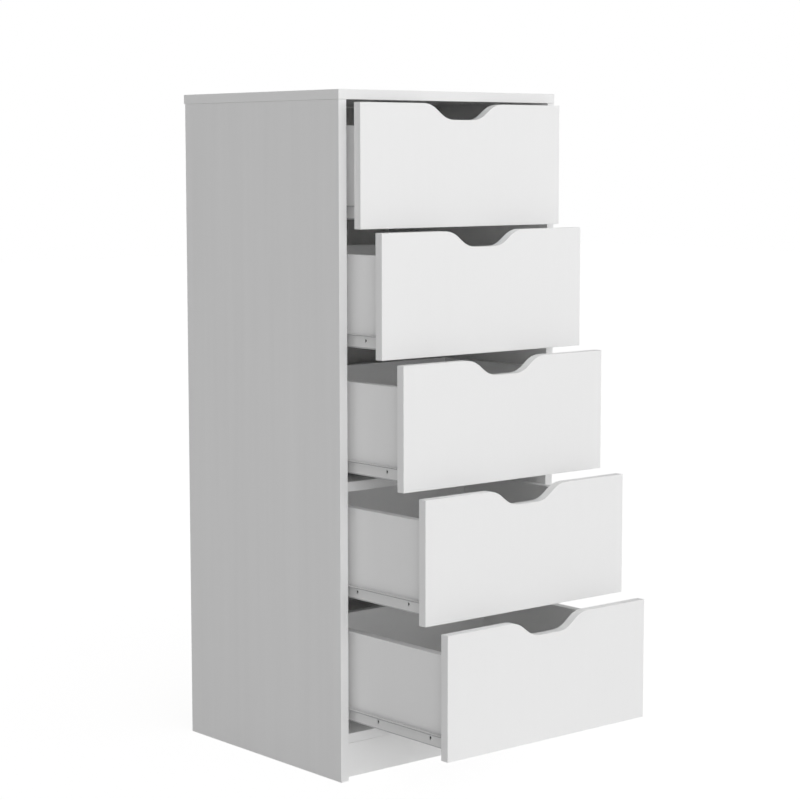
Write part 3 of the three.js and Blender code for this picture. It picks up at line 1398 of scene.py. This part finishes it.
@dataclass
class Studio:
    """The floor, the light and the camera.

    Attributes:
        camera_place: where the camera stands.
        heading: its turn from +Y towards +X, in degrees.
        tilt: its tilt above the horizon, in degrees.
        roll: its turn about its own axis, in degrees.
        lens: focal length in millimetres, on a sensor 36 mm wide.
        floor_size: side of the floor.
        floor_glow: share of the floor's look that is plain white paper.
        paper: brightness of the plain white paper.
        falloff: how fast a patch of light fades from its middle.
        ambient: brightness of the surround between the patches.
        gamma: how much the shadows are opened up in the picture.
        floor_tone: the floor's own tone, linear.
        glows: the patches of light.
    """

    camera_place: Corner = (-2.28073, -2.67477, 0.96768)
    heading: float = 40.077
    tilt: float = -6.378
    roll: float = -0.063
    lens: float = 98.161
    floor_size: float = 30.0
    floor_glow: float = 0.75
    paper: float = 1.2
    falloff: float = 6.0
    ambient: float = 0.172
    gamma: float = 1.2
    floor_tone: float = 0.99
    glows: tuple[SoftGlow, ...] = (
        SoftGlow(-20, 0, 2.42),
        SoftGlow(45, 0, 0.85),
        SoftGlow(70, 0, 1.4),
        SoftGlow(0, 30, 0.24),
        SoftGlow(0, 90, 0.25),
        SoftGlow(135, 0, 0.42),
    )

    def build(self) -> None:
        """Makes the camera, the floor and the light."""
        look = bpy.context.scene.view_settings
        look.view_transform = "Standard"
        look.gamma = self.gamma
        self.camera()
        self.floor()
        self.surround()

    def camera(self) -> None:
        """Makes the scene's camera."""
        data = bpy.data.cameras.new("camera")
        data.sensor_width = 36.0
        data.lens = self.lens
        data.clip_start, data.clip_end = 0.05, 200.0
        made = bpy.data.objects.new("camera", data)
        bpy.context.scene.collection.objects.link(made)
        turn, lift, lean = map(math.radians, (self.heading, self.tilt, self.roll))
        ahead = Vector(
            (math.sin(turn) * math.cos(lift), math.cos(turn) * math.cos(lift), math.sin(lift))
        )
        level = Vector((math.cos(turn), -math.sin(turn), 0))
        upright = level.cross(ahead)
        right = math.cos(lean) * level + math.sin(lean) * upright
        above = -math.sin(lean) * level + math.cos(lean) * upright
        axes = Matrix((right, above, -ahead)).transposed().to_4x4()
        made.matrix_world = Matrix.Translation(self.camera_place) @ axes
        bpy.context.scene.camera = made

    def floor(self) -> None:
        """Makes the plain white floor, which shows only a faint shadow."""
        work = bmesh.new()
        bmesh.ops.create_grid(work, x_segments=2, y_segments=2, size=self.floor_size / 2)
        mesh = bpy.data.meshes.new("floor")
        work.to_mesh(mesh)
        work.free()
        made = bpy.data.objects.new("floor", mesh)
        made.location.z = -0.0005
        bpy.context.scene.collection.objects.link(made)
        material = bpy.data.materials.new("floor_paper")
        material.use_nodes = True
        maker = NodeMaker(material.node_tree)
        nodes = material.node_tree.nodes
        matt = nodes["Principled BSDF"]
        matt.inputs["Base Color"].default_value = (*grey(self.floor_tone), 1)
        matt.inputs["Roughness"].default_value = 0.9
        matt.inputs["Specular IOR Level"].default_value = 0.1
        white = maker.add("ShaderNodeEmission")
        white.inputs["Strength"].default_value = self.paper
        seen = maker.add("ShaderNodeLightPath").outputs["Is Camera Ray"]
        mix = maker.add("ShaderNodeMixShader")
        maker.join(maker.math("MULTIPLY", seen, self.floor_glow), mix.inputs[0])
        maker.join(matt.outputs[0], mix.inputs[1])
        maker.join(white.outputs[0], mix.inputs[2])
        maker.join(mix.outputs[0], nodes["Material Output"].inputs["Surface"])
        mesh.materials.append(material)

    def surround(self) -> None:
        """Makes the soft light, and the plain white that is seen behind the chest."""
        world = bpy.data.worlds.new("surround")
        world.use_nodes = True
        bpy.context.scene.world = world
        maker = NodeMaker(world.node_tree)
        nodes = world.node_tree.nodes
        way = maker.add("ShaderNodeTexCoord").outputs["Generated"]
        total: object = self.ambient
        for glow in self.glows:
            facing = maker.add("ShaderNodeVectorMath", operation="DOT_PRODUCT")
            maker.join(way, facing.inputs[0])
            facing.inputs[1].default_value = glow.axis()
            near = maker.math("MAXIMUM", facing.outputs["Value"], 0.0)
            faded = maker.math("POWER", near, self.falloff)
            total = maker.math("MULTIPLY_ADD", faded, glow.strength, total)
        light = nodes["Background"]
        light.inputs["Color"].default_value = (1, 1, 1, 1)
        maker.join(total, light.inputs["Strength"])
        seen = maker.add("ShaderNodeBackground")
        seen.inputs["Color"].default_value = (1, 1, 1, 1)
        seen.inputs["Strength"].default_value = 1.0
        rays = maker.add("ShaderNodeLightPath")
        mix = maker.add("ShaderNodeMixShader")
        maker.join(rays.outputs["Is Camera Ray"], mix.inputs[0])
        maker.join(light.outputs[0], mix.inputs[1])
        maker.join(seen.outputs[0], mix.inputs[2])
        maker.join(mix.outputs[0], nodes["World Output"].inputs["Surface"])


def main() -> None:
    """Builds the studio, the carcass and the drawers."""
    logging.basicConfig(level=logging.INFO, format="%(name)s: %(message)s")
    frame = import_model()
    Studio().build()
    Carcass().build()
    drawers = [body for body in frame["bodies"] if body != Carcass.body]
    for number in range(1, len(drawers) + 1):
        Drawer(number).build()


if __name__ == "__main__":
    main()
